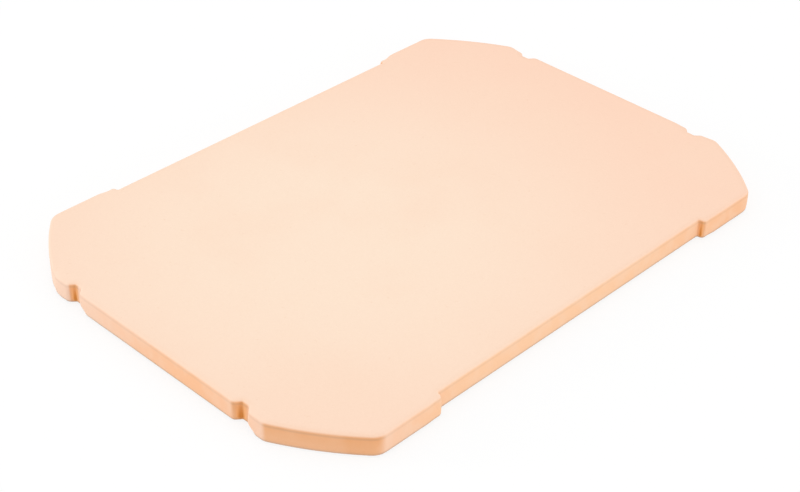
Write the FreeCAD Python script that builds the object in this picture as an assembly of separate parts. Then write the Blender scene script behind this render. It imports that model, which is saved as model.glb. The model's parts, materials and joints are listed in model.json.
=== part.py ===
import FreeCAD, Part
import math
import os
from collections import namedtuple

# A pizza stone: one slab of pressed and fired cordierite ceramic.
# Its corners are cut off by bowed chamfers, which leaves four ears.
# Each long side is set back between its ears, and each short side has two notches.
# Millimetres, +Z up, X along the length, origin under the middle of the slab.

# Slab
LENGTH = 432.0
WIDTH = 305.0
THICKNESS = 15.0
TOP_EDGE_RADIUS = 2.0
BOTTOM_EDGE_RADIUS = 2.0

# Corner cuts: how far each one reaches along the two sides, and how far it bows out
CORNER_CUT_ALONG_LENGTH = 38.5
CORNER_CUT_ALONG_WIDTH = 55.5
CORNER_CUT_BOW = 2.4
CORNER_RADIUS_AT_SHORT_SIDE = 9.0
CORNER_RADIUS_AT_LONG_SIDE = 12.0

# Ears: the straight stretch between a rounded corner and the notch or recess beside it
EAR_FLAT_ON_SHORT_SIDE = 8.59
EAR_FLAT_ON_LONG_SIDE = 42.7

# Notches, two in each short side, with walls that slope in from the side
NOTCH_DEPTH = 4.4
NOTCH_FLOOR_WIDTH = 5.0
NOTCH_LIP_RADIUS = 4.0
NOTCH_ROOT_RADIUS = 0.8
NOTCH_WALL_ANGLE = math.radians(52.0)

# Recesses, one along each long side, with steep ends
RECESS_DEPTH = 4.8
RECESS_LIP_RADIUS = 3.5
RECESS_ROOT_RADIUS = 0.8
RECESS_END_ANGLE = math.radians(85.0)

# A rim's rounding is at most this share of the radius of the lips that it goes round
RIM_SHARE_OF_LIP = 0.85

# Two points closer than this are one point
SAME_PLACE = 1e-6

QUARTER_TURN = math.pi / 2
HALF_TURN = math.pi

# A round stretch of the outline, which turns about its centre from one angle to another
Bend = namedtuple("Bend", "x y radius start end")

# A side that steps in: the angle its wall makes with the side, and the run from its lip's centre to its root's
Step = namedtuple("Step", "angle run")


def step_in(depth, lip_radius, root_radius, wall_angle):
    """The step from a side down to a floor: a round lip, a straight wall and a round root.
    Where the two radii take up the whole depth, they meet at less than the wall's angle."""
    radii = lip_radius + root_radius
    angle = min(wall_angle, math.acos(max(0.0, 1.0 - depth / radii)))
    wall_depth = depth - radii * (1.0 - math.cos(angle))
    return Step(angle, radii * math.sin(angle) + wall_depth / math.tan(angle))


def corner_bends():
    """The corner at +X +Y, from the short side to the long side: a bow with a rounded corner at each end."""
    side_x = LENGTH / 2
    side_y = WIDTH / 2
    on_short_side = FreeCAD.Vector(side_x, side_y - CORNER_CUT_ALONG_WIDTH, 0)
    on_long_side = FreeCAD.Vector(side_x - CORNER_CUT_ALONG_LENGTH, side_y, 0)
    chord = on_long_side - on_short_side
    bow_radius = (chord.Length ** 2 / 4 + CORNER_CUT_BOW ** 2) / (2 * CORNER_CUT_BOW)
    outwards = FreeCAD.Vector(chord.y, -chord.x, 0).normalize()
    bow_centre = (on_short_side + on_long_side) / 2 - outwards * (bow_radius - CORNER_CUT_BOW)

    # Each rounded corner touches its side and the bow from inside
    short_radius = CORNER_RADIUS_AT_SHORT_SIDE
    short_x = side_x - short_radius
    short_y = bow_centre.y + math.sqrt((bow_radius - short_radius) ** 2 - (short_x - bow_centre.x) ** 2)
    short_angle = math.atan2(short_y - bow_centre.y, short_x - bow_centre.x)

    long_radius = CORNER_RADIUS_AT_LONG_SIDE
    long_y = side_y - long_radius
    long_x = bow_centre.x + math.sqrt((bow_radius - long_radius) ** 2 - (long_y - bow_centre.y) ** 2)
    long_angle = math.atan2(long_y - bow_centre.y, long_x - bow_centre.x)

    return [
        Bend(short_x, short_y, short_radius, 0.0, short_angle),
        Bend(bow_centre.x, bow_centre.y, bow_radius, short_angle, long_angle),
        Bend(long_x, long_y, long_radius, long_angle, QUARTER_TURN),
    ]


def notch_bends(ear_lip_y):
    """The notch of the short side at +X, towards the ear, whose lip ends at the given Y."""
    step = step_in(NOTCH_DEPTH, NOTCH_LIP_RADIUS, NOTCH_ROOT_RADIUS, NOTCH_WALL_ANGLE)
    lip_x = LENGTH / 2 - NOTCH_LIP_RADIUS
    root_x = LENGTH / 2 - NOTCH_DEPTH + NOTCH_ROOT_RADIUS
    ear_root_y = ear_lip_y - step.run
    middle_root_y = ear_root_y - NOTCH_FLOOR_WIDTH
    middle_lip_y = middle_root_y - step.run
    return [
        Bend(lip_x, middle_lip_y, NOTCH_LIP_RADIUS, 0.0, step.angle),
        Bend(root_x, middle_root_y, NOTCH_ROOT_RADIUS, HALF_TURN + step.angle, HALF_TURN),
        Bend(root_x, ear_root_y, NOTCH_ROOT_RADIUS, HALF_TURN, HALF_TURN - step.angle),
        Bend(lip_x, ear_lip_y, NOTCH_LIP_RADIUS, -step.angle, 0.0),
    ]


def recess_bends(ear_lip_x):
    """The end of the long side's recess at +Y, whose lip starts at the given X."""
    step = step_in(RECESS_DEPTH, RECESS_LIP_RADIUS, RECESS_ROOT_RADIUS, RECESS_END_ANGLE)
    lip_y = WIDTH / 2 - RECESS_LIP_RADIUS
    root_x = ear_lip_x - step.run
    root_y = WIDTH / 2 - RECESS_DEPTH + RECESS_ROOT_RADIUS
    return [
        Bend(ear_lip_x, lip_y, RECESS_LIP_RADIUS, QUARTER_TURN, QUARTER_TURN + step.angle),
        Bend(root_x, root_y, RECESS_ROOT_RADIUS, step.angle - QUARTER_TURN, -QUARTER_TURN),
    ]


def quadrant_bends():
    """A quarter of the outline, from the middle of the short side to the middle of the long side."""
    corner = corner_bends()
    notch = notch_bends(corner[0].y - EAR_FLAT_ON_SHORT_SIDE)
    recess = recess_bends(corner[-1].x - EAR_FLAT_ON_LONG_SIDE)
    return notch + corner + recess


def mirrored(bends):
    """The bends mirrored from +X to -X, and back to front, so that the outline runs on."""
    return [Bend(-b.x, b.y, b.radius, HALF_TURN - b.end, HALF_TURN - b.start) for b in reversed(bends)]


def turned_round(bends):
    """The bends turned half a turn about the middle of the slab."""
    return [Bend(-b.x, -b.y, b.radius, b.start + HALF_TURN, b.end + HALF_TURN) for b in bends]


def point_on(bend, angle):
    """The point of a bend at an angle."""
    return FreeCAD.Vector(bend.x + bend.radius * math.cos(angle), bend.y + bend.radius * math.sin(angle), 0)


def outline_wire():
    """The slab's outline on the floor: its bends, joined by straight sides."""
    quadrant = quadrant_bends()
    half = quadrant + mirrored(quadrant)
    bends = half + turned_round(half)
    edges = []
    for bend, following in zip(bends, bends[1:] + bends[:1]):
        start = point_on(bend, bend.start)
        middle = point_on(bend, (bend.start + bend.end) / 2)
        end = point_on(bend, bend.end)
        edges.append(Part.Arc(start, middle, end).toShape())
        next_start = point_on(following, following.start)
        if end.distanceToPoint(next_start) > SAME_PLACE:
            edges.append(Part.LineSegment(end, next_start).toShape())
    return Part.Wire(edges)


def rim(solid, height):
    """The edges that run round a solid at a height."""
    return [e for e in solid.Edges if all(abs(v.Z - height) < SAME_PLACE for v in e.Vertexes)]


def stone_slab():
    """The slab: its outline raised to the thickness, with both rims rounded.
    A rim's rounding stays under the tightest lip that it goes round."""
    most = RIM_SHARE_OF_LIP * min(NOTCH_LIP_RADIUS, RECESS_LIP_RADIUS)
    slab = Part.Face(outline_wire()).extrude(FreeCAD.Vector(0, 0, THICKNESS))
    slab = slab.makeFillet(min(TOP_EDGE_RADIUS, most), rim(slab, THICKNESS))
    return slab.makeFillet(min(BOTTOM_EDGE_RADIUS, most), rim(slab, 0.0))


def main():
    os.makedirs("parts", exist_ok=True)
    slab = stone_slab()
    slab.exportStep("parts/stone_slab.step")
    notch = notch_bends(corner_bends()[0].y - EAR_FLAT_ON_SHORT_SIDE)
    recess = recess_bends(corner_bends()[-1].x - EAR_FLAT_ON_LONG_SIDE)
    print("valid", slab.isValid(), "volume", round(slab.Volume), "mm3")
    print("middle of a notch at Y", round((notch[1].y + notch[2].y) / 2, 2))
    print("flat floor of a recess from the middle to X", round(recess[1].x, 2))


main()
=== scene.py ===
"""The look of a pizza stone: one slab of pressed and fired cordierite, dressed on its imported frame."""

from __future__ import annotations

import json
import logging
import math
from dataclasses import astuple, dataclass
from enum import Enum
from functools import partial
from typing import Any, Callable, Protocol, Sequence, Union

import bpy
from mathutils import Matrix, Vector


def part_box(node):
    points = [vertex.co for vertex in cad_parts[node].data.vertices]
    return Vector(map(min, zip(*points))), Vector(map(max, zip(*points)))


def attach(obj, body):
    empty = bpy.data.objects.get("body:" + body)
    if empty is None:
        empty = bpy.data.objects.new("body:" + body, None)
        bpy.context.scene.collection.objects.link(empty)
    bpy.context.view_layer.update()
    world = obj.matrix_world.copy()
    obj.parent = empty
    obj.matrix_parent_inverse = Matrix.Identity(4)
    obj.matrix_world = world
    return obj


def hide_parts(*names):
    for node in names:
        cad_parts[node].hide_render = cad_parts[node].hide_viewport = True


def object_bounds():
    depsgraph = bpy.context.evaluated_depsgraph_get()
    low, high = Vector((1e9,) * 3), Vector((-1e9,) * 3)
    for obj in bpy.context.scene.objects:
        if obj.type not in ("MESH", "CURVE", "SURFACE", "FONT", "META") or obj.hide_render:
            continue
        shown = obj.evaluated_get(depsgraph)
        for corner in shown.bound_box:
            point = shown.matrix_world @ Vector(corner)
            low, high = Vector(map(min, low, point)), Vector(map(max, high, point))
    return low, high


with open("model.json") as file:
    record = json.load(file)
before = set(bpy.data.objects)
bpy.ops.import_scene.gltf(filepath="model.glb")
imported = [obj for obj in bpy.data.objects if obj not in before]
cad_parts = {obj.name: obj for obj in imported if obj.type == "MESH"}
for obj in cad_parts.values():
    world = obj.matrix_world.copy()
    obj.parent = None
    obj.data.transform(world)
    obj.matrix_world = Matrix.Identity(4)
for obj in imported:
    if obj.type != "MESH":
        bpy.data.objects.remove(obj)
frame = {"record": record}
CAD_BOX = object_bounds()

LOG = logging.getLogger("pizza_stone")

# What a node's input can be linked from
Source = Union[bpy.types.Node, bpy.types.NodeSocket]
# Adds a node as add_node does, to a tree that is already given
AddNode = Callable[..., bpy.types.Node]
Inputs = bpy.types.bpy_prop_collection
Colour = tuple[float, float, float, float]

MM = 0.001
QUARTER_TURN = math.pi / 2
HALF_TURN = math.pi
WHITE = (1.0, 1.0, 1.0, 1.0)
UP = (0.0, 0.0, 1.0)
DOWN = (0.0, 0.0, -1.0)
# What a place is multiplied by to bring it down to the floor
IN_PLAN = (1.0, 1.0, 0.0)

SLAB_NODE = "stone_slab"
SLAB_BODY = "root"

# What the slab's mesh carries: painted shade from 0 to 1, wear in metres, and metres from the edge
PAINTED_SHADE_ATTRIBUTE = "kiln_flash"
UPPER_WEAR_ATTRIBUTE = "upper_corner_wear"
LOWER_WEAR_ATTRIBUTE = "lower_corner_wear"
EDGE_ATTRIBUTE = "from_edge"


class PaintedShade(Enum):
    """How deep a stretch of wall is painted with shade, from its plain peach to a deep orange."""

    PLAIN = 0.0
    WARM = 0.3
    AMBER = 0.7
    EMBER = 1.0


class Seed(Enum):
    """Where each random pattern starts, as an offset in its noise."""

    RIM_WEAR = 3.7
    RIM_CHIPS = 7.9
    CLOUDS = 11.3
    MOTTLE = 17.2
    GRAIN = 23.9
    SPECKS = 37.1
    PORES = 41.7


class Rise(Enum):
    """How a share goes from one end to the other: evenly, or gently at both ends."""

    EVEN = "LINEAR"
    GENTLE = "SMOOTHSTEP"


class LampPlace(Enum):
    """The soft lamps of the studio, named for where they stand as the camera sees it."""

    LEFT = "left"
    RIGHT = "right"


def linear(hex_colour: str) -> Colour:
    """Turn an sRGB hex colour into linear light.

    Args:
        hex_colour: six hex digits with a leading hash.

    Returns:
        Red, green and blue in linear light, and an alpha of one.
    """
    channels = [int(hex_colour[i:i + 2], 16) / 255.0 for i in (1, 3, 5)]
    light = [c / 12.92 if c <= 0.04045 else ((c + 0.055) / 1.055) ** 2.4 for c in channels]
    return (light[0], light[1], light[2], 1.0)


def per_size(size_mm: float) -> float:
    """Return the texture scale whose pattern repeats about every size_mm of the stone."""
    return 1.0 / (size_mm * MM)


def ease(share: float) -> float:
    """Return a share that leaves 0 and reaches 1 gently."""
    return share * share * (3.0 - 2.0 * share)


def direction(azimuth: float, elevation: float) -> Vector:
    """Return the direction from the stone towards a viewer or a lamp.

    Args:
        azimuth: degrees round the stone, 0 from the front at -Y and -90 from the end at -X.
        elevation: degrees above the floor.

    Returns:
        A vector of length one.
    """
    a, e = math.radians(azimuth), math.radians(elevation)
    return Vector((math.sin(a) * math.cos(e), -math.cos(a) * math.cos(e), math.sin(e)))


def add_node(
    tree: bpy.types.NodeTree, kind: str, inputs: dict[str, Any] | Sequence[Any] = (), **settings: Any
) -> bpy.types.Node:
    """Add a node, set its properties, then link or set its inputs.

    Args:
        tree: the tree that gets the node.
        kind: the node's type name.
        inputs: what the sockets take, by identifier or as a list in the node's own order: a node's
            first output, an output socket, a list of either, or a plain value.
        settings: the node's own properties.

    Returns:
        The new node.
    """
    node = tree.nodes.new(kind)
    for name, value in settings.items():
        setattr(node, name, value)
    sockets = {socket.identifier: socket for socket in node.inputs}
    taken = inputs if isinstance(inputs, dict) else dict(zip(sockets, inputs))
    for identifier, value in taken.items():
        for source in value if isinstance(value, list) else [value]:
            if isinstance(source, bpy.types.Node):
                source = next(socket for socket in source.outputs if socket.enabled)
            if isinstance(source, bpy.types.NodeSocket):
                tree.links.new(source, sockets[identifier])
            else:
                sockets[identifier].default_value = source
    return node


def start_nodes(owner: bpy.types.Material | bpy.types.World) -> AddNode:
    """Give a material or a world an empty tree.

    Args:
        owner: what gets the tree.

    Returns:
        What adds a node to it.
    """
    owner.use_nodes = True
    owner.node_tree.nodes.clear()
    return partial(add_node, owner.node_tree)


def add_object(name: str, data: bpy.types.ID) -> bpy.types.Object:
    """Put an object into the scene.

    Args:
        name: its name.
        data: its mesh, light or lens.

    Returns:
        The new object.
    """
    added = bpy.data.objects.new(name, data)
    bpy.context.scene.collection.objects.link(added)
    return added


@dataclass(frozen=True)
class OutlinePoint:
    """A point of the outline in millimetres, with how deep its wall is painted with shade."""

    x: float
    y: float
    flash: float

    def towards(self, other: OutlinePoint, share: float) -> OutlinePoint:
        """Return the point a share of the way to another one."""
        pairs = zip(astuple(self), astuple(other))
        return OutlinePoint(*(start + (end - start) * share for start, end in pairs))

    def distance(self, other: OutlinePoint) -> float:
        """Return the distance to another point in millimetres."""
        return math.hypot(other.x - self.x, other.y - self.y)

    def nearness(self, x: float, y: float, reach: float) -> float:
        """Return 1 at a place, falling evenly to 0 at a reach from it."""
        return max(0.0, 1.0 - math.hypot(x - self.x, y - self.y) / reach)


@dataclass(frozen=True)
class Knock:
    """A corner that use has worn round, above and below the wall, in millimetres."""

    x: float
    y: float
    upper: float
    lower: float
    reach: float = 9.0

    def share(self, point: OutlinePoint) -> float:
        """Return how much of the wear a point of the outline has, easing off to none at the reach."""
        return ease(point.nearness(self.x, self.y, self.reach))


@dataclass(frozen=True)
class RootShade:
    """A root painted with shade that deepens to orange and fades out at its reach, in millimetres."""

    x: float
    y: float
    reach: float


@dataclass(frozen=True)
class Bend:
    """A round stretch of the outline, in millimetres and radians.

    The painted shade of its wall eases from one to the other, most of it late in the bend.
    """

    x: float
    y: float
    radius: float
    start: float
    end: float
    shade_start: PaintedShade = PaintedShade.PLAIN
    shade_end: PaintedShade = PaintedShade.PLAIN
    shade_delay: float = 1.5

    def at(self, share: float) -> OutlinePoint:
        """Find a point of the bend.

        Args:
            share: how far along the bend it lies, from 0 to 1.

        Returns:
            The point, with the painted shade of its wall.
        """
        angle = self.start + (self.end - self.start) * share
        late_share = ease(share ** self.shade_delay)
        flash = self.shade_start.value + (self.shade_end.value - self.shade_start.value) * late_share
        x = self.x + self.radius * math.cos(angle)
        y = self.y + self.radius * math.sin(angle)
        return OutlinePoint(x, y, flash)

    def mirrored(self) -> Bend:
        """Return the bend mirrored from +X to -X, running the other way and with a plain wall."""
        return Bend(-self.x, self.y, self.radius, HALF_TURN - self.end, HALF_TURN - self.start)

    def turned_round(self) -> Bend:
        """Return the bend turned half a turn about the middle of the slab."""
        start, end = self.start + HALF_TURN, self.end + HALF_TURN
        return Bend(-self.x, -self.y, self.radius, start, end, self.shade_start, self.shade_end)


@dataclass(frozen=True)
class SlabOutline:
    """The plan of the slab in millimetres: cut corners, ears, notched short sides, recessed long sides."""

    length: float
    width: float
    notch_middle_y: float
    notch_depth: float
    recess_depth: float
    corner_cut_along_length: float = 38.5
    corner_cut_along_width: float = 55.5
    corner_cut_bow: float = 2.4
    corner_radius_at_short_side: float = 9.0
    corner_radius_at_long_side: float = 12.0
    ear_flat_on_long_side: float = 42.7
    notch_floor_width: float = 5.0
    notch_lip_radius: float = 4.0
    notch_root_radius: float = 0.8
    notch_wall_angle: float = math.radians(52.0)
    recess_lip_radius: float = 3.5
    recess_root_radius: float = 0.8
    recess_end_angle: float = math.radians(85.0)
    # Painted shade covers the cuts of two opposite corners and deepens to orange in the roots that open
    # towards them.
    # Each root here has a twin half a turn round the slab.
    shaded_roots: tuple[RootShade, ...] = (
        RootShade(-212.2, 81.2, reach=3.6),
        RootShade(-212.3, -74.7, reach=6.2),
        RootShade(126.4, -149.8, reach=3.0),
    )
    # The lips and corners that show wear, anticlockwise from the short side at -X
    knocks: tuple[Knock, ...] = (
        Knock(-214.5, 98.0, upper=1.2, lower=1.0, reach=10.0),
        Knock(-215.0, 86.0, upper=0.4, lower=0.4),
        Knock(-215.0, 71.0, upper=0.5, lower=1.9, reach=6.5),
        Knock(-215.0, -85.0, upper=0.6, lower=2.1, reach=6.5),
        Knock(-131.0, -151.0, upper=1.0, lower=0.3),
        Knock(131.0, -151.0, upper=0.8, lower=0.6),
        Knock(183.0, -150.0, upper=0.3, lower=0.4, reach=16.0),
        Knock(215.0, -86.0, upper=0.6, lower=0.5),
        Knock(215.0, -70.0, upper=0.4, lower=1.2),
        Knock(215.0, 86.0, upper=0.8, lower=1.2),
        Knock(131.0, 151.0, upper=1.7, lower=0.9),
        Knock(-131.0, 151.0, upper=0.9, lower=1.0),
        Knock(-183.0, 150.0, upper=0.3, lower=1.0, reach=16.0),
    )
    chord_error: float = 0.006
    longest_step: float = 1.0
    same_place: float = 1e-6

    @classmethod
    def from_frame(cls) -> SlabOutline:
        """Take the overall size, and the places of the notches and recesses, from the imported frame.

        Returns:
            The outline at the frame's own size.
        """
        low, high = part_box(SLAB_NODE)
        mounts = {mount["name"]: Vector(mount["pos_m"]) for mount in frame["record"]["mounts"]}
        notch = mounts["notch_right_back"]
        recess = mounts["recess_back"]
        return cls(
            length=(high.x - low.x) / MM,
            width=(high.y - low.y) / MM,
            notch_middle_y=notch.y / MM,
            notch_depth=(high.x - notch.x) / MM,
            recess_depth=(high.y - recess.y) / MM,
        )

    @staticmethod
    def step_in(depth: float, lip: float, root: float, wall_angle: float) -> tuple[float, float]:
        """Work out the step from a side down to a floor: a round lip, a straight wall and a round root.

        Args:
            depth: how far the floor lies below the side.
            lip: radius of the lip.
            root: radius of the root.
            wall_angle: the angle between the wall and the side.

        Returns:
            The angle that the lip and root turn through, and the run from the lip's centre to the root's.
        """
        angle = min(wall_angle, math.acos(max(0.0, 1.0 - depth / (lip + root))))
        wall_depth = depth - (lip + root) * (1.0 - math.cos(angle))
        return angle, (lip + root) * math.sin(angle) + wall_depth / math.tan(angle)

    def notch(self) -> list[Bend]:
        """Draw the notch of the short side at +X, on its +Y half.

        Returns:
            Its lips and roots, towards +Y.
        """
        lip, root = self.notch_lip_radius, self.notch_root_radius
        angle, run = self.step_in(self.notch_depth, lip, root, self.notch_wall_angle)
        lip_x = self.length / 2 - lip
        root_x = self.length / 2 - self.notch_depth + root
        middle_root_y = self.notch_middle_y - self.notch_floor_width / 2
        ear_root_y = self.notch_middle_y + self.notch_floor_width / 2
        return [
            Bend(lip_x, middle_root_y - run, lip, 0.0, angle),
            Bend(root_x, middle_root_y, root, HALF_TURN + angle, HALF_TURN),
            Bend(root_x, ear_root_y, root, HALF_TURN, HALF_TURN - angle),
            Bend(lip_x, ear_root_y + run, lip, -angle, 0.0),
        ]

    def corner(self) -> list[Bend]:
        """Draw the corner cut at +X +Y, with painted shade on its wall.

        Returns:
            A bow with a rounded corner at each end, from the short side to the long side.
        """
        side_x, side_y = self.length / 2, self.width / 2
        on_short_side = Vector((side_x, side_y - self.corner_cut_along_width))
        on_long_side = Vector((side_x - self.corner_cut_along_length, side_y))
        chord = on_long_side - on_short_side
        bow = self.corner_cut_bow
        bow_radius = (chord.length ** 2 / 4 + bow ** 2) / (2 * bow)
        outwards = Vector((chord.y, -chord.x)).normalized()
        centre = (on_short_side + on_long_side) / 2 - outwards * (bow_radius - bow)

        short_radius = self.corner_radius_at_short_side
        short_x = side_x - short_radius
        short_y = centre.y + math.sqrt((bow_radius - short_radius) ** 2 - (short_x - centre.x) ** 2)
        short_angle = math.atan2(short_y - centre.y, short_x - centre.x)

        long_radius = self.corner_radius_at_long_side
        long_y = side_y - long_radius
        long_x = centre.x + math.sqrt((bow_radius - long_radius) ** 2 - (long_y - centre.y) ** 2)
        long_angle = math.atan2(long_y - centre.y, long_x - centre.x)

        return [
            Bend(short_x, short_y, short_radius, 0.0, short_angle, PaintedShade.PLAIN, PaintedShade.WARM),
            Bend(centre.x, centre.y, bow_radius, short_angle, long_angle, PaintedShade.WARM, PaintedShade.WARM),
            Bend(long_x, long_y, long_radius, long_angle, QUARTER_TURN, PaintedShade.WARM, PaintedShade.PLAIN),
        ]

    def recess(self, ear_lip_x: float) -> list[Bend]:
        """Draw the end of the recess of the long side at +Y.

        Args:
            ear_lip_x: where the ear's lip starts to turn in.

        Returns:
            The lip and the root of the recess.
        """
        lip, root = self.recess_lip_radius, self.recess_root_radius
        angle, run = self.step_in(self.recess_depth, lip, root, self.recess_end_angle)
        lip_y = self.width / 2 - lip
        root_y = self.width / 2 - self.recess_depth + root
        return [
            Bend(ear_lip_x, lip_y, lip, QUARTER_TURN, QUARTER_TURN + angle),
            Bend(ear_lip_x - run, root_y, root, angle - QUARTER_TURN, -QUARTER_TURN),
        ]

    def bends(self) -> list[Bend]:
        """Draw a quarter of the outline, and repeat it round the slab.

        Returns:
            All the bends, anticlockwise from the middle of the side at +X.
        """
        corner = self.corner()
        quadrant = self.notch() + corner + self.recess(corner[-1].x - self.ear_flat_on_long_side)
        half = quadrant + [bend.mirrored() for bend in reversed(quadrant)]
        return half + [bend.turned_round() for bend in half]

    def points(self) -> list[OutlinePoint]:
        """Walk round the bends and the straight stretches between them.

        Returns:
            Points close enough together to follow every bend within the chord error.
        """
        bends = self.bends()
        found: list[OutlinePoint] = []
        for bend, following in zip(bends, bends[1:] + bends[:1]):
            turn = abs(bend.end - bend.start)
            finest = 2 * math.acos(1.0 - self.chord_error / bend.radius)
            steps = math.ceil(max(turn / finest, turn * bend.radius / self.longest_step))
            found += [bend.at(i / steps) for i in range(steps + 1)]
            start, end = bend.at(1.0), following.at(0.0)
            gap = start.distance(end)
            if gap < self.same_place:
                found.pop()
                continue
            steps = math.ceil(gap / self.longest_step)
            found += [start.towards(end, i / steps) for i in range(1, steps)]
        return found

    def flash(self, points: list[OutlinePoint]) -> list[float]:
        """Return the painted shade of the wall at each point, which deepens to orange at a shaded root."""
        places = [(turn * e.x, turn * e.y, e.reach) for e in self.shaded_roots for turn in (1.0, -1.0)]
        return [max([p.flash] + [p.nearness(*place) for place in places]) for p in points]

    def upper_wear(self, points: list[OutlinePoint]) -> list[float]:
        """Return how deep the upper edge is worn at each point, in metres."""
        return [max(knock.upper * knock.share(p) for knock in self.knocks) * MM for p in points]

    def lower_wear(self, points: list[OutlinePoint]) -> list[float]:
        """Return how deep the lower edge is worn at each point, in metres."""
        return [max(knock.lower * knock.share(p) for knock in self.knocks) * MM for p in points]


@dataclass(frozen=True)
class Surface:
    """What a material draws on: a way to add nodes, and what they can start from.

    The place is in object coordinates, the height in metres above the floor, and the painted shade from 0 to
    1.
    """

    add: AddNode
    place: Source
    height: Source
    flash: Source

    @classmethod
    def of(cls, material: bpy.types.Material) -> Surface:
        """Start a material.

        Args:
            material: the new material.

        Returns:
            Its surface, bare.
        """
        add = start_nodes(material)
        place = add("ShaderNodeTexCoord").outputs["Object"]
        height = add("ShaderNodeSeparateXYZ", [place]).outputs["Z"]
        flash = add("ShaderNodeAttribute", attribute_name=PAINTED_SHADE_ATTRIBUTE).outputs["Fac"]
        return cls(add, place, height, flash)


class Spread(Protocol):
    """How something is spread over the stone."""

    def share(self, surface: Surface) -> Source:
        """Return how much of it each place of a surface has."""


@dataclass(frozen=True)
class Pattern:
    """A random pattern in the stone, as coarse as its size in millimetres.

    Its share goes from the least to the most where its noise goes from low to high.
    """

    seed: Seed
    size_mm: float
    detail: float
    low: float = 0.0
    high: float = 1.0
    least: float = 0.0
    most: float = 1.0
    rise: Rise = Rise.EVEN

    def share(self, surface: Surface) -> Source:
        """Draw the pattern.

        Args:
            surface: what it is drawn on.

        Returns:
            Its share at each place.
        """
        start = [surface.place, self.seed.value, per_size(self.size_mm), self.detail]
        noise = surface.add("ShaderNodeTexNoise", start, noise_dimensions="4D")
        levels = [noise, self.low, self.high, self.least, self.most]
        return surface.add("ShaderNodeMapRange", levels, interpolation_type=self.rise.value)


@dataclass(frozen=True)
class Patch:
    """A patch of changed colour, at its most out to a start and gone at a reach, in millimetres."""

    x: float
    y: float
    start: float
    reach: float
    most: float = 1.0

    def share(self, surface: Surface) -> Source:
        """Let the patch fade out with the distance from its middle, as seen from above.

        Args:
            surface: what it is drawn on.

        Returns:
            Its share at each place.
        """
        flat = surface.add("ShaderNodeVectorMath", [surface.place, IN_PLAN], operation="MULTIPLY")
        middle = (self.x * MM, self.y * MM, 0.0)
        away = surface.add("ShaderNodeVectorMath", [flat, middle], operation="DISTANCE").outputs["Value"]
        levels = [away, self.start * MM, self.reach * MM, self.most, 0.0]
        return surface.add("ShaderNodeMapRange", levels, interpolation_type=Rise.GENTLE.value)


@dataclass(frozen=True)
class PaintedShadeTone:
    """A tone of painted shade on the walls that comes up from one level of the painted shade to the next.

    On the lower edge the painted shade thins out to a share of its level. A tone may
    also spread further at the wall's foot.
    """

    low: PaintedShade
    high: PaintedShade
    spread_at_foot: float = 1.0
    rise_mm: float = 13.0
    edge_mm: float = 3.0
    edge_share: float = 0.5

    def share(self, surface: Surface) -> Source:
        """Bring the tone up with the painted shade of the wall.

        Args:
            surface: what it is drawn on.

        Returns:
            Its share at each place.
        """
        add, height = surface.add, surface.height
        edge = add("ShaderNodeMapRange", [height, 0.0, self.edge_mm * MM, self.edge_share, 1.0])
        thinned = add("ShaderNodeMath", [surface.flash, edge], operation="MULTIPLY")
        spread = add("ShaderNodeMapRange", [height, 0.0, self.rise_mm * MM, self.spread_at_foot, 1.0])
        spread_shade = add("ShaderNodeMath", [thinned, spread], operation="MULTIPLY")
        return add("ShaderNodeMapRange", [spread_shade, self.low.value, self.high.value])


@dataclass(frozen=True)
class DeeperShade:
    """A deeper painted shade on the shaded walls, in patches towards the top, and most round one place."""

    patches: Pattern
    deepest_place: Patch
    low_mm: float = 5.0
    high_mm: float = 12.0
    most: float = 0.5

    def share(self, surface: Surface) -> Source:
        """Bring the deeper shade up with the height and the painted shade of the wall.

        Args:
            surface: what it is drawn on.

        Returns:
            Its share at each place, which is none on a plain wall.
        """
        levels = [surface.height, self.low_mm * MM, self.high_mm * MM, 0.0, self.most]
        risen = surface.add("ShaderNodeMapRange", levels)
        deepening_parts = [risen, self.patches.share(surface), self.deepest_place.share(surface)]
        deepening = surface.add("ShaderNodeMath", deepening_parts, operation="MULTIPLY_ADD")
        return surface.add("ShaderNodeMapRange", [surface.flash, 0.0, PaintedShade.WARM.value, 0.0, deepening])


@dataclass(frozen=True)
class PaintedShadeLine:
    """A line of painted shade that runs round the walls, at a height and with a reach in millimetres.

    Where the wall already carries painted shade, it is stronger or weaker than where the wall is plain.
    """

    height: float
    reach: float
    plain_share: float
    shaded_share: float

    def share(self, surface: Surface) -> Source:
        """Let the line fade out above and below its height.

        Args:
            surface: what it is drawn on.

        Returns:
            Its share at each place.
        """
        add = surface.add
        off_line = add("ShaderNodeMath", [surface.height, self.height * MM], operation="SUBTRACT")
        either_way = add("ShaderNodeMath", [off_line], operation="ABSOLUTE")
        shares = [surface.flash, 0.0, PaintedShade.WARM.value, self.plain_share, self.shaded_share]
        levels = [either_way, 0.0, self.reach * MM, add("ShaderNodeMapRange", shares), 0.0]
        return add("ShaderNodeMapRange", levels, interpolation_type=Rise.GENTLE.value)


@dataclass(frozen=True)
class Tint:
    """A colour that comes up in the stone by its share."""

    colour: str
    where: Spread

    def over(self, surface: Surface, under: Source | Colour) -> Source:
        """Lay the tint over a colour.

        Args:
            surface: what it is drawn on.
            under: the colour that shows where the tint has no share.

        Returns:
            The tinted colour.
        """
        share = self.where.share(surface)
        inks = {"Factor_Float": share, "A_Color": under, "B_Color": linear(self.colour)}
        return surface.add("ShaderNodeMix", inks, data_type="RGBA")


@dataclass(frozen=True)
class Relief:
    """A pattern that stands up from the surface where its share is large, in millimetres."""

    pattern: Pattern
    height_mm: float


@dataclass(frozen=True)
class Band:
    """The stretch of a slope or a noise over which something comes up."""

    low: float
    high: float


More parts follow.
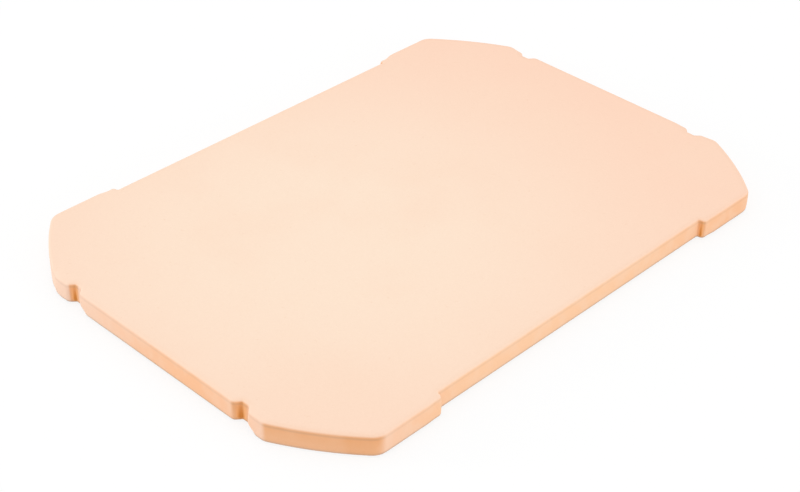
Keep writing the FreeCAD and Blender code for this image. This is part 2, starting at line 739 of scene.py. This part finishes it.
@dataclass(frozen=True)
class CordieriteFinish:
    """Unglazed cordierite, dry-pressed and fired.

    Its two faces are a matt peach with a fine grain and a few pores, paler than the walls as painted light
    for the light on top, with a cream bloom of painted light off the middle. Its walls are a deeper peach,
    faintly mottled and paler in places, one of them as painted light; painted shade turns two cut corners to
    apricot and some of the roots to a deep orange, and runs as a line round the top and the foot of the
    walls.
    """

    name: str = "cordierite_pressed_and_fired"
    ior: float = 1.5
    specular_level: float = 0.25
    diffuse_roughness: float = 0.4
    face_roughness: float = 0.8
    wall_roughness: float = 0.9
    # The slopes of the rounded edges over which the faces' colour runs into the walls'
    upper_turn: Band = Band(0.2, 0.98)
    lower_turn: Band = Band(-1.0, -0.85)
    # Painted shade: within this reach of the edge the faces run a little towards the walls' deeper colour
    shaded_edge_mm: float = 6.0
    shaded_edge_share: float = 0.12
    # The faces' bloom of painted light, paler round a place left of the middle, and their clouds
    # Painted light: the faces are paler than the walls for the stronger light that falls on top
    face_colour: str = "#FDD9C2"
    face_tints: tuple[Tint, ...] = (
        Tint("#FDE7D2", Patch(-70.0, 10.0, start=40.0, reach=330.0)),
        Tint("#FCDFC8", Pattern(Seed.CLOUDS, 60.0, 3.0, low=0.4, high=0.75, most=0.4, rise=Rise.GENTLE)),
    )
    # The walls' paler places and mottle, then their painted shade
    wall_colour: str = "#FAC69C"
    wall_tints: tuple[Tint, ...] = (
        # Painted light: the walls paler round the corner at -X +Y, where more light falls
        Tint("#F8DAC6", Patch(-216.0, 130.0, start=0.0, reach=175.0)),
        Tint("#F7D6C2", Patch(-190.0, -120.0, start=0.0, reach=85.0)),
        Tint("#FCD0A9", Patch(-20.0, -150.0, start=60.0, reach=190.0)),
        Tint("#F9DBC4", Pattern(Seed.MOTTLE, 10.0, 3.0, low=0.38, high=0.62, most=0.25, rise=Rise.GENTLE)),
        # Painted shade: from plain to apricot on two cut corners, then deepening to orange in the roots,
        # wider at the foot
        Tint("#F2BE93", PaintedShadeTone(PaintedShade.PLAIN, PaintedShade.WARM)),
        Tint("#FDBF7F", PaintedShadeTone(PaintedShade.WARM, PaintedShade.AMBER)),
        Tint("#DD9347", PaintedShadeTone(PaintedShade.AMBER, PaintedShade.EMBER, spread_at_foot=1.25)),
        # Painted shade, deepened in patches towards the top of the shaded walls and most round one place on
        # the -X -Y cut corner
        Tint(
            "#EEB27F",
            DeeperShade(
                patches=Pattern(Seed.MOTTLE, 10.0, 3.0, low=0.38, high=0.62, least=0.6, most=1.4),
                deepest_place=Patch(-182.0, -147.0, start=9.0, reach=17.0, most=0.5),
            ),
        ),
        # Painted shade along the upper rounded edge, and a painted contact shadow along the foot
        Tint("#928379", PaintedShadeLine(height=12.7, reach=1.4, plain_share=0.1, shaded_share=0.2)),
        Tint("#928379", PaintedShadeLine(height=0.3, reach=3.0, plain_share=0.6, shaded_share=0.42)),
    )
    # Specks and grain all over. Real grain, of 0.2 mm, is too fine for the picture, so it is drawn coarser.
    body_tints: tuple[Tint, ...] = (
        Tint("#E9BE99", Pattern(Seed.SPECKS, 2.4, 2.0, low=0.66, high=0.8, most=0.2)),
        Tint("#D9A77C", Pattern(Seed.GRAIN, 1.1, 3.0, low=0.3, high=0.7, most=0.05)),
    )
    # The grain stands up and the pores sink in
    reliefs: tuple[Relief, ...] = (
        Relief(Pattern(Seed.GRAIN, 1.1, 3.0), height_mm=0.05),
        Relief(Pattern(Seed.PORES, 3.2, 1.0, low=0.68, high=0.78, least=1.0, most=0.0), height_mm=0.12),
    )
    relief_strength: float = 0.5

    def material(self) -> bpy.types.Material:
        """Mix the finish.

        Returns:
            A procedural material.
        """
        material = bpy.data.materials.new(self.name)
        surface = Surface.of(material)
        wall_share = self.wall_share(surface)
        levels = [wall_share, 0.0, 1.0, self.face_roughness, self.wall_roughness]
        stone = {
            "Base Color": self.body(surface, wall_share),
            "Roughness": surface.add("ShaderNodeMapRange", levels),
            "IOR": self.ior,
            "Specular IOR Level": self.specular_level,
            "Diffuse Roughness": self.diffuse_roughness,
            "Normal": self.bumped(surface),
        }
        bsdf = surface.add("ShaderNodeBsdfPrincipled", stone)
        surface.add("ShaderNodeOutputMaterial", [bsdf])
        return material

    def wall_share(self, surface: Surface) -> Source:
        """Tell the walls from the faces by the slope of the surface.

        Args:
            surface: the slab's surface.

        Returns:
            1 on the walls, 0 on the two faces, and what lies between on the rounded edges.
        """
        normal = surface.add("ShaderNodeNewGeometry").outputs["Normal"]
        upright = surface.add("ShaderNodeSeparateXYZ", [normal]).outputs["Z"]
        upper = [upright, self.upper_turn.low, self.upper_turn.high, 1.0, 0.0]
        lower = [upright, self.lower_turn.low, self.lower_turn.high, 0.0, 1.0]
        shares = [
            surface.add("ShaderNodeMapRange", levels, interpolation_type=Rise.GENTLE.value)
            for levels in (upper, lower)
        ]
        return surface.add("ShaderNodeMath", shares, operation="MULTIPLY")

    def body(self, surface: Surface, wall_share: Source) -> Source:
        """Run the faces into the walls over the rounded edges, then add the specks and the grain.

        Args:
            surface: the slab's surface.
            wall_share: 1 on the walls and 0 on the faces.

        Returns:
            The base colour.
        """
        # Painted shade near the edges of the faces, laid with the walls' colour by slope
        from_edge = surface.add("ShaderNodeAttribute", attribute_name=EDGE_ATTRIBUTE).outputs["Fac"]
        levels = [from_edge, 0.0, self.shaded_edge_mm * MM, self.shaded_edge_share, 0.0]
        edge_share = surface.add("ShaderNodeMapRange", levels, interpolation_type=Rise.GENTLE.value)
        wall_and_shaded_edge_share = surface.add("ShaderNodeMath", [wall_share, edge_share], operation="MAXIMUM")
        face = self.tinted(surface, linear(self.face_colour), self.face_tints)
        wall = self.tinted(surface, linear(self.wall_colour), self.wall_tints)
        inks = {"Factor_Float": wall_and_shaded_edge_share, "A_Color": face, "B_Color": wall}
        plain = surface.add("ShaderNodeMix", inks, data_type="RGBA")
        return self.tinted(surface, plain, self.body_tints)

    @staticmethod
    def tinted(surface: Surface, colour: Source | Colour, tints: tuple[Tint, ...]) -> Source | Colour:
        """Lay tints over a colour, one upon the other.

        Args:
            surface: the slab's surface.
            colour: the colour under them all.
            tints: the tints, from the lowest up.

        Returns:
            The tinted colour.
        """
        for tint in tints:
            colour = tint.over(surface, colour)
        return colour

    def bumped(self, surface: Surface) -> Source:
        """Put the reliefs on the surface, one upon the other.

        Args:
            surface: the slab's surface.

        Returns:
            The bumped normal.
        """
        bump: dict[str, Any] = {"Strength": self.relief_strength}
        for relief in self.reliefs:
            bump["Height"] = relief.pattern.share(surface)
            bump["Distance"] = relief.height_mm * MM
            bump["Normal"] = surface.add("ShaderNodeBump", bump)
        return bump["Normal"]


@dataclass
class StoneSlab:
    """The slab in millimetres: an edge section swept round the outline, closed by two flat faces."""

    outline: SlabOutline
    finish: CordieriteFinish
    thickness: float
    edge_radius: float = 2.0
    flat_rim: float = 2.9
    edge_steps: int = 8
    wall_rows: int = 7
    cell: float = 4.5
    lattice_margin: float = 3.6
    wear_depth: float = 0.1
    wear_size: float = 9.0
    wear_detail: float = 2.0
    chip_depth: float = 0.3
    chip_size: float = 5.0
    chip_detail: float = 1.0
    chip_band: Band = Band(0.66, 0.8)
    corner_reach: float = 6.5
    same_point: float = 0.02

    def sizes(self) -> dict[str, float | int]:
        """Gather the values of the node tree's named inputs.

        Returns:
            Name to value, with lengths in metres.
        """
        return {
            "Length": self.outline.length * MM,
            "Width": self.outline.width * MM,
            "Thickness": self.thickness * MM,
            "Edge Radius": self.edge_radius * MM,
            "Flat Rim": self.flat_rim * MM,
            "Cell": self.cell * MM,
            "Lattice Margin": self.lattice_margin * MM,
            "Wear Depth": self.wear_depth * MM,
            "Wear Scale": per_size(self.wear_size),
            "Wear Seed": Seed.RIM_WEAR.value,
            "Chip Depth": self.chip_depth * MM,
            "Chip Scale": per_size(self.chip_size),
            "Chip Seed": Seed.RIM_CHIPS.value,
            "Corner Reach": self.corner_reach * MM,
            "Same Point": self.same_point * MM,
            "Edge Steps": self.edge_steps,
            "Wall Rows": self.wall_rows,
        }

    def host(self) -> bpy.types.Object:
        """Make the outline a loop of edges, with the marks of its wall on its points.

        Returns:
            The object that the node tree starts from.
        """
        points = self.outline.points()
        count = len(points)
        mesh = bpy.data.meshes.new(SLAB_NODE)
        places = [(p.x * MM, p.y * MM, 0.0) for p in points]
        mesh.from_pydata(places, [(i, (i + 1) % count) for i in range(count)], [])
        marks = {
            PAINTED_SHADE_ATTRIBUTE: self.outline.flash(points),
            UPPER_WEAR_ATTRIBUTE: self.outline.upper_wear(points),
            LOWER_WEAR_ATTRIBUTE: self.outline.lower_wear(points),
        }
        for name, values in marks.items():
            mesh.attributes.new(name, "FLOAT", "POINT").data.foreach_set("value", values)
        return add_object(SLAB_NODE + "_outline", mesh)

    def tree(self) -> bpy.types.NodeTree:
        """Sweep the edge round the outline, close it with two faces, then wear and dress it.

        Returns:
            The node tree, with a named input for each size.
        """
        tree = bpy.data.node_groups.new("slab_swept_round_outline", "GeometryNodeTree")
        tree.interface.new_socket("Geometry", in_out="OUTPUT", socket_type="NodeSocketGeometry")
        tree.interface.new_socket("Outline", in_out="INPUT", socket_type="NodeSocketGeometry")
        for name, value in self.sizes().items():
            kind = "NodeSocketInt" if isinstance(value, int) else "NodeSocketFloat"
            tree.interface.new_socket(name, in_out="INPUT", socket_type=kind)
        tree.interface.new_socket("Material", in_out="INPUT", socket_type="NodeSocketMaterial")
        add = partial(add_node, tree)
        given = add("NodeGroupInput").outputs

        loop = add("GeometryNodeMeshToCurve", [given["Outline"]])
        outline = add("GeometryNodeSetCurveNormal", [loop], mode="Z_UP")
        section = self.edge_section(add, given)
        rim = add("GeometryNodeCurveToMesh", [outline, section])
        face = self.face(add, given, rim)
        lift = add("ShaderNodeCombineXYZ", {"Z": given["Thickness"]})
        top = add("GeometryNodeTransform", {"Geometry": face, "Translation": lift})
        bottom = add("GeometryNodeFlipFaces", [face])
        shell = add("GeometryNodeJoinGeometry", {"Geometry": [rim, top, bottom]})
        closed = add("GeometryNodeMergeByDistance", {"Geometry": shell, "Distance": given["Same Point"]})
        worn = self.worn(add, given, closed, outline)
        smooth = add("GeometryNodeSetShadeSmooth", [worn])
        whole = add("GeometryNodeRealizeInstances", [smooth])
        dressed = add("GeometryNodeSetMaterial", {"Geometry": whole, "Material": given["Material"]})
        add("NodeGroupOutput", {tree.interface.items_tree["Geometry"].identifier: dressed})
        return tree

    @staticmethod
    def edge_section(add: AddNode, given: Inputs) -> Source:
        """Draw the section of the rim: flat, rounded over, down the wall, rounded under and flat again.

        Args:
            add: adds a node to the slab's tree.
            given: the tree's named inputs.

        Returns:
            The section as an open curve, with X outwards and Y down.
        """
        inwards = add("ShaderNodeMath", [given["Flat Rim"], -1.0], operation="MULTIPLY")
        upwards = add("ShaderNodeMath", [given["Thickness"], -1.0], operation="MULTIPLY")
        places = {
            "Point 1": add("ShaderNodeCombineXYZ", [inwards, upwards]),
            "Point 2": add("ShaderNodeCombineXYZ", {"Y": upwards}),
            "Point 3": (0.0, 0.0, 0.0),
            "Point 4": add("ShaderNodeCombineXYZ", [inwards]),
        }
        corners = add("GeometryNodeCurvePrimitiveQuadrilateral", places, mode="POINTS")
        section = add("GeometryNodeSetSplineCyclic", {"Geometry": corners, "Cyclic": False})
        rounding = {"Curve": section, "Count": given["Edge Steps"], "Radius": given["Edge Radius"]}
        rounded = add("GeometryNodeFilletCurve", rounding, mode="POLY")
        wall_start = add("ShaderNodeMath", [given["Edge Steps"], 1.0], operation="ADD")
        sides = {"A_INT": add("GeometryNodeInputIndex"), "B_INT": wall_start}
        is_wall = add("FunctionNodeCompare", sides, data_type="INT", operation="EQUAL")
        rows = {"Switch": is_wall, "False": 0, "True": given["Wall Rows"]}
        cuts = add("GeometryNodeSwitch", rows, input_type="INT")
        return add("GeometryNodeSubdivideCurve", [rounded, cuts])

    @staticmethod
    def face(add: AddNode, given: Inputs, rim: Source) -> Source:
        """Fill the inside of the rim with a lattice of squares and a skirt of triangles round it.

        Args:
            add: adds a node to the slab's tree.
            given: the tree's named inputs.
            rim: the swept rim.

        Returns:
            One flat face at the height of the floor, facing up.
        """
        neighbours = {"A_INT": add("GeometryNodeInputMeshEdgeNeighbors"), "B_INT": 1}
        is_border = add("FunctionNodeCompare", neighbours, data_type="INT", operation="EQUAL")
        place = add("GeometryNodeInputPosition")
        height = add("ShaderNodeSeparateXYZ", [place]).outputs["Z"]
        middle = add("ShaderNodeMath", [given["Thickness"], 0.5], operation="MULTIPLY")
        is_upper = add("FunctionNodeCompare", [height, middle], operation="GREATER_THAN")
        is_upper_border = add("FunctionNodeBooleanMath", [is_border, is_upper], operation="AND")
        upper_border = add("GeometryNodeMeshToCurve", [rim, is_upper_border])
        on_floor = add("ShaderNodeVectorMath", [place, IN_PLAN], operation="MULTIPLY")
        border = add("GeometryNodeSetPosition", {"Geometry": upper_border, "Position": on_floor})

        sides = {}
        for axis, side in (("X", "Length"), ("Y", "Width")):
            sides["Size " + axis] = given[side]
            cells = add("ShaderNodeMath", [given[side], given["Cell"]], operation="DIVIDE")
            sides["Vertices " + axis] = cells
        grid = add("GeometryNodeMeshGrid", sides)
        plan = add("GeometryNodeFillCurve", [border], mode="NGONS")
        above = add("ShaderNodeVectorMath", [place, UP], operation="ADD")
        ray = {"Target Geometry": plan, "Source Position": above, "Ray Direction": DOWN}
        over_plan = add("GeometryNodeRaycast", ray).outputs["Is Hit"]
        wire = {"Target": add("GeometryNodeCurveToMesh", [border]), "Source Position": place}
        from_border = add("GeometryNodeProximity", wire, target_element="EDGES").outputs["Distance"]
        is_near = add("FunctionNodeCompare", [from_border, given["Lattice Margin"]], operation="LESS_THAN")
        is_outside = add("FunctionNodeBooleanMath", [over_plan, is_near], operation="IMPLY")
        lattice = add("GeometryNodeDeleteGeometry", [grid, is_outside], domain="FACE")
        lattice_border = add("GeometryNodeMeshToCurve", [lattice, is_border])
        both = add("GeometryNodeJoinGeometry", {"Geometry": [border, lattice_border]})
        skirt = add("GeometryNodeFillCurve", [both], mode="TRIANGLES")
        return add("GeometryNodeJoinGeometry", {"Geometry": [lattice, skirt]})

    def worn(self, add: AddNode, given: Inputs, shell: Source, outline: Source) -> Source:
        """Wear and chip the rim and its corners inwards, and store how far each point lies from the edge.

        Args:
            add: adds a node to the slab's tree.
            given: the tree's named inputs.
            shell: the closed slab.
            outline: the outline as a curve.

        Returns:
            The worn slab.
        """
        place = add("GeometryNodeInputPosition")
        on_floor = add("ShaderNodeVectorMath", [place, IN_PLAN], operation="MULTIPLY")
        wire = {"Target": add("GeometryNodeCurveToMesh", [outline]), "Source Position": on_floor}
        from_edge = add("GeometryNodeProximity", wire, target_element="EDGES").outputs["Distance"]
        mark = {"Geometry": shell, "Name": EDGE_ATTRIBUTE, "Value": from_edge}
        marked = add("GeometryNodeStoreNamedAttribute", mark)

        noises = {}
        for kind, detail in (("Wear", self.wear_detail), ("Chip", self.chip_detail)):
            start = [place, given[kind + " Seed"], given[kind + " Scale"], detail]
            noises[kind] = add("ShaderNodeTexNoise", start, noise_dimensions="4D")
        rubbed = add("ShaderNodeMath", [noises["Wear"], given["Wear Depth"]], operation="MULTIPLY")
        levels = [noises["Chip"], self.chip_band.low, self.chip_band.high, 0.0, given["Chip Depth"]]
        chipped = add("ShaderNodeMapRange", levels, interpolation_type=Rise.GENTLE.value)
        depth = add("ShaderNodeMath", [rubbed, chipped], operation="ADD")
        levels = [from_edge, 0.0, given["Flat Rim"], -1.0, 0.0]
        fade = add("ShaderNodeMapRange", levels, interpolation_type=Rise.GENTLE.value)
        inwards = add("ShaderNodeMath", [depth, fade], operation="MULTIPLY")

        height = add("ShaderNodeSeparateXYZ", [place]).outputs["Z"]
        below_top = add("ShaderNodeMath", [given["Thickness"], height], operation="SUBTRACT")
        for from_rim, attribute in ((below_top, UPPER_WEAR_ATTRIBUTE), (height, LOWER_WEAR_ATTRIBUTE)):
            wear = add("GeometryNodeInputNamedAttribute", [attribute])
            across = add("ShaderNodeCombineXYZ", [from_edge, from_rim])
            from_corner = add("ShaderNodeVectorMath", [across], operation="LENGTH").outputs["Value"]
            levels = [from_corner, 0.0, given["Corner Reach"], -1.0, 0.0]
            share = add("ShaderNodeMapRange", levels, interpolation_type=Rise.GENTLE.value)
            inwards = add("ShaderNodeMath", [wear, share, inwards], operation="MULTIPLY_ADD")
        normal = add("GeometryNodeInputNormal")
        offset = add("ShaderNodeVectorMath", {"Vector": normal, "Scale": inwards}, operation="SCALE")
        return add("GeometryNodeSetPosition", {"Geometry": marked, "Offset": offset})

    def build(self) -> bpy.types.Object:
        """Run the node tree on the outline, and keep what it makes.

        Returns:
            The slab as one plain closed mesh, dressed in its finish.
        """
        host, tree, material = self.host(), self.tree(), self.finish.material()
        modifier = host.modifiers.new("slab", "NODES")
        modifier.node_group = tree
        items = tree.interface.items_tree
        sockets = {item.name: item.identifier for item in items if item.in_out == "INPUT"}
        for name, value in self.sizes().items():
            modifier[sockets[name]] = value
        modifier[sockets["Material"]] = material
        mesh = bpy.data.meshes.new_from_object(host.evaluated_get(bpy.context.evaluated_depsgraph_get()))
        mesh.name = SLAB_NODE
        mesh.materials.clear()
        mesh.materials.append(material)
        host.modifiers.remove(modifier)
        bpy.data.objects.remove(host)
        return add_object(SLAB_NODE + "_finished", mesh)

    @staticmethod
    def mount(slab: bpy.types.Object) -> None:
        """Put the slab on its body, in place of the frame's own solid.

        Args:
            slab: the finished slab.
        """
        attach(slab, SLAB_BODY)
        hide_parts(SLAB_NODE)


@dataclass(frozen=True)
class Lamp:
    """A square soft lamp, aimed at the middle of the stone, in degrees and metres.

    Its level is what a white surface that faces it reflects, so the levels of lamps and sky add up.
    """

    place: LampPlace
    azimuth: float
    elevation: float
    level: float
    distance: float = 4.0
    size: float = 1.2

    def build(self) -> bpy.types.Object:
        """Hang the lamp in the scene.

        Returns:
            The lamp.
        """
        light = bpy.data.lights.new("softbox_" + self.place.value, "AREA")
        light.shape = "SQUARE"
        light.size = self.size
        light.energy = self.level * (math.pi * self.distance) ** 2
        lamp = add_object(light.name, light)
        away = direction(self.azimuth, self.elevation)
        lamp.location = away * self.distance
        lamp.rotation_mode = "QUATERNION"
        lamp.rotation_quaternion = away.to_track_quat("Z", "Y")
        return lamp


@dataclass(frozen=True)
class Studio:
    """A white floor under an even sky, with a soft lamp on each side."""

    lamps: tuple[Lamp, ...]
    sky_level: float = 0.95
    floor_colour: str = "#FFFFFF"
    bounce_colour: str = "#EEEEEE"
    floor_size: float = 12.0
    floor_gap: float = 0.2
    white_share: float = 0.82

    def build(self) -> None:
        """Build the sky, the floor and the lamps."""
        self.sky()
        self.floor()
        for lamp in self.lamps:
            LOG.info("%s is hung", lamp.build().name)

    @staticmethod
    def seen(add: AddNode) -> Source:
        """Tell what the eye sees from what lights the stone.

        Args:
            add: adds a node to the tree of the sky or the floor.

        Returns:
            1 where the eye looks straight, in a mirror or through glass, and 0 for light.
        """
        path = add("ShaderNodeLightPath").outputs
        straight = add("ShaderNodeMath", [path["Is Camera Ray"], path["Is Glossy Ray"]], operation="MAXIMUM")
        return add("ShaderNodeMath", [straight, path["Is Transmission Ray"]], operation="MAXIMUM")

    def sky(self) -> None:
        """Light everything evenly, and show the eye plain white."""
        world = bpy.data.worlds.new("even_sky")
        add = start_nodes(world)
        even = add("ShaderNodeBackground", [WHITE, self.sky_level])
        white = add("ShaderNodeBackground", [WHITE, 1.0])
        shown = add("ShaderNodeMixShader", [self.seen(add), even, white])
        add("ShaderNodeOutputWorld", [shown])
        bpy.context.scene.world = world

    def floor(self) -> None:
        """Lay a floor that is white to the eye and still takes the stone's shadow."""
        material = bpy.data.materials.new("white_studio_floor")
        add = start_nodes(material)
        bounce = add("ShaderNodeBsdfDiffuse", [linear(self.bounce_colour)])
        matt = add("ShaderNodeBsdfDiffuse", [linear(self.floor_colour)])
        white = add("ShaderNodeEmission", [WHITE, 1.0])
        paper = add("ShaderNodeMixShader", [self.white_share, matt, white])
        shown = add("ShaderNodeMixShader", [self.seen(add), bounce, paper])
        add("ShaderNodeOutputMaterial", [shown])
        half = self.floor_size / 2
        low = -self.floor_gap * MM
        corners = [(-half, -half, low), (half, -half, low), (half, half, low), (-half, half, low)]
        mesh = bpy.data.meshes.new("studio_floor")
        mesh.from_pydata(corners, [], [(0, 1, 2, 3)])
        mesh.materials.append(material)
        floor = add_object("studio_floor", mesh)


@dataclass(frozen=True)
class StudioCamera:
    """The camera at the photograph's angle, in degrees and millimetres, aimed beside the target."""

    target: Vector
    azimuth: float = -46.432
    elevation: float = 35.118
    roll: float = 1.279
    distance: float = 1130.9
    aim_left: float = 4.33
    aim_down: float = 28.2
    focal_length: float = 76.39
    sensor_width: float = 36.0

    def build(self) -> bpy.types.Object:
        """Set up the camera and make it the scene's own.

        Returns:
            The camera.
        """
        back = direction(self.azimuth, self.elevation)
        level_right = Vector(UP).cross(back).normalized()
        level_up = back.cross(level_right)
        roll = math.radians(self.roll)
        right = level_right * math.cos(roll) + level_up * math.sin(roll)
        up = level_up * math.cos(roll) - level_right * math.sin(roll)
        place = self.target + (back * self.distance - right * self.aim_left - up * self.aim_down) * MM
        lens = bpy.data.cameras.new("studio_camera")
        lens.sensor_fit = "HORIZONTAL"
        lens.sensor_width = self.sensor_width
        lens.lens = self.focal_length
        camera = add_object("studio_camera", lens)
        camera.matrix_world = Matrix.Translation(place) @ Matrix((right, up, back)).transposed().to_4x4()
        bpy.context.scene.camera = camera
        return camera


def main() -> None:
    """Build the camera, the slab and the studio."""
    logging.basicConfig(level=logging.INFO, format="%(name)s: %(message)s")
    bpy.context.scene.view_settings.view_transform = "Standard"
    low, high = CAD_BOX
    camera = StudioCamera(target=Vector((0.0, 0.0, high.z))).build()
    LOG.info("%s is set up", camera.name)

    maker = StoneSlab(SlabOutline.from_frame(), CordieriteFinish(), thickness=(high.z - low.z) / MM)
    slab = maker.build()
    maker.mount(slab)
    LOG.info("%s has %d points and %d faces", slab.name, len(slab.data.vertices), len(slab.data.polygons))

    Studio(
        lamps=(
            Lamp(LampPlace.LEFT, azimuth=-140.0, elevation=10.0, level=0.24),
            Lamp(LampPlace.RIGHT, azimuth=10.0, elevation=14.0, level=0.125),
        )
    ).build()


if __name__ == "__main__":
    main()
